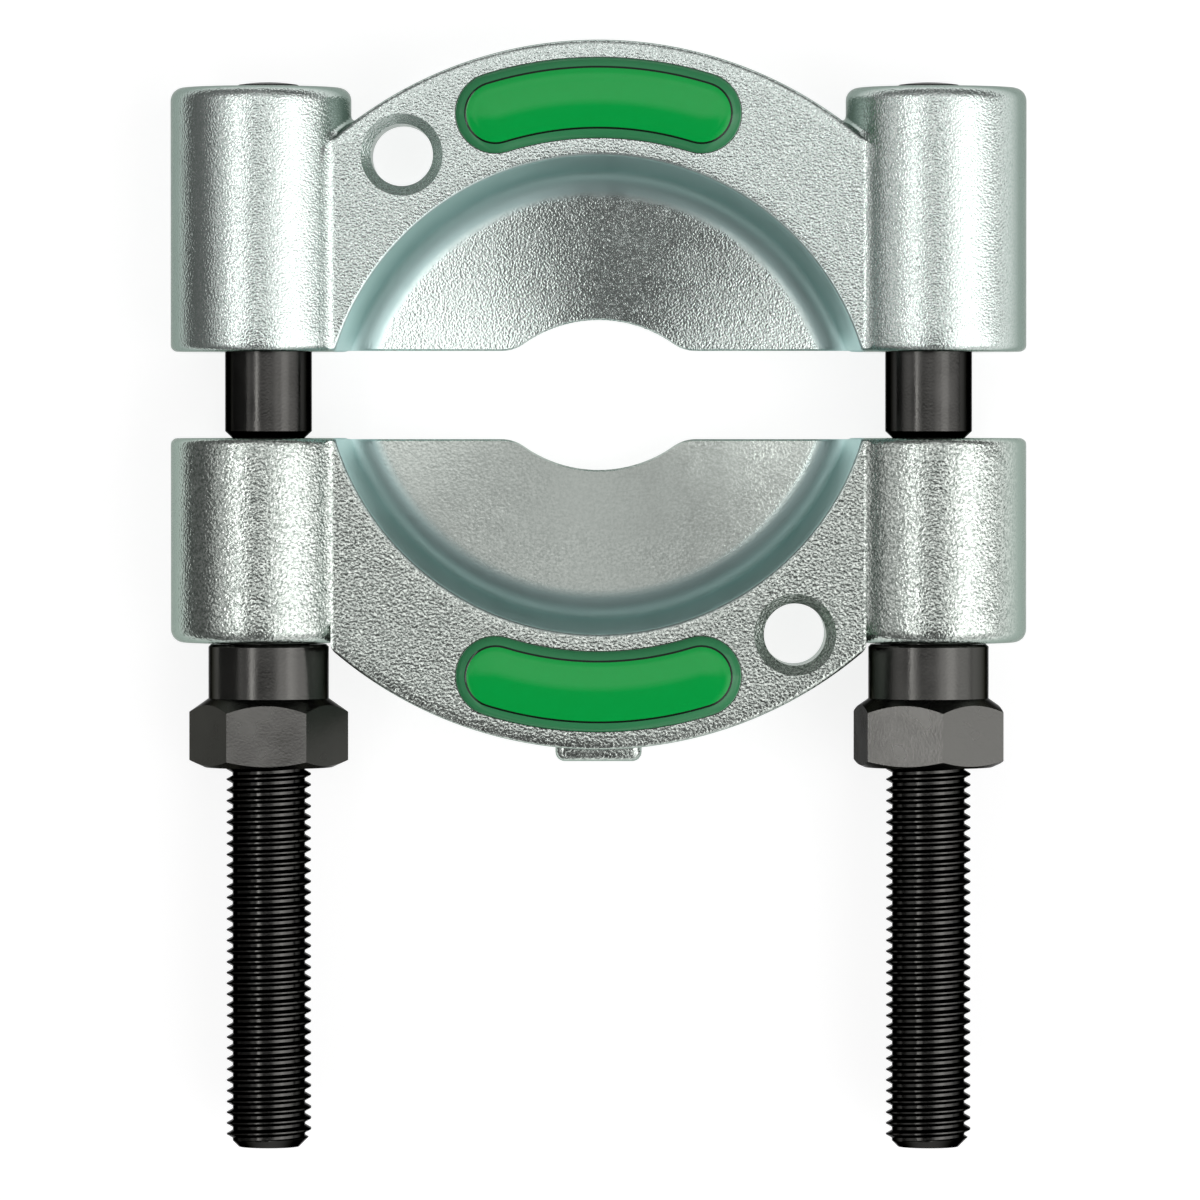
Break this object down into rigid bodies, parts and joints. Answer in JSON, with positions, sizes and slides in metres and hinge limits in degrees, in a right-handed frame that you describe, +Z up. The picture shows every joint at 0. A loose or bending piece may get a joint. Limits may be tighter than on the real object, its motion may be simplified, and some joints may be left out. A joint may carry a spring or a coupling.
{
  "type": "bearing separator",
  "caption": "Split bearing separator: forged half-ring jaws with a dished knife edge, drawn together along side studs by collar nuts.",
  "frame": {"origin": "middle of the footprint, on the surface that the bosses lie on", "axes": "+X across the two studs, +Y along the studs from their threaded ends to their heads, +Z up, out of the dished side"},
  "size_m": [0.0994, 0.1284, 0.021],
  "materials": {
    "zinc_plated_steel": "zinc plated, fine shot-blasted grain",
    "black_oxide_steel": "black oxide, turned",
    "label_foil": "printed foil under a clear domed resin"
  },
  "bodies": {
    "base": {"fixed_jaw": "zinc_plated_steel", "stud_left": "black_oxide_steel", "stud_right": "black_oxide_steel", "label_fixed": "label_foil"},
    "sliding_jaw": {"moving_jaw": "zinc_plated_steel", "label_moving": "label_foil"},
    "left_nut": {"nut_left": "black_oxide_steel"},
    "right_nut": {"nut_right": "black_oxide_steel"}
  },
  "joints": [
    {"name": "jaw_slide", "type": "slide", "parent": "base", "child": "sliding_jaw", "axis": [0, 1, 0], "range_m": [-0.044, 0.0097]},
    {"name": "left_nut_turn", "type": "hinge", "parent": "sliding_jaw", "child": "left_nut", "pos_m": [-0.03835, -0.0058, 0.0105], "axis": [0, 1, 0], "range_deg": [-12680, 2800]},
    {"name": "right_nut_turn", "type": "hinge", "parent": "sliding_jaw", "child": "right_nut", "pos_m": [0.03835, -0.0058, 0.0105], "axis": [0, 1, 0], "range_deg": [-12680, 2800]}
  ],
  "couplings": [
    {"joint": "left_nut_turn", "follows": "jaw_slide", "rad_per_m": 5026.5},
    {"joint": "right_nut_turn", "follows": "jaw_slide", "rad_per_m": 5026.5}
  ]
}
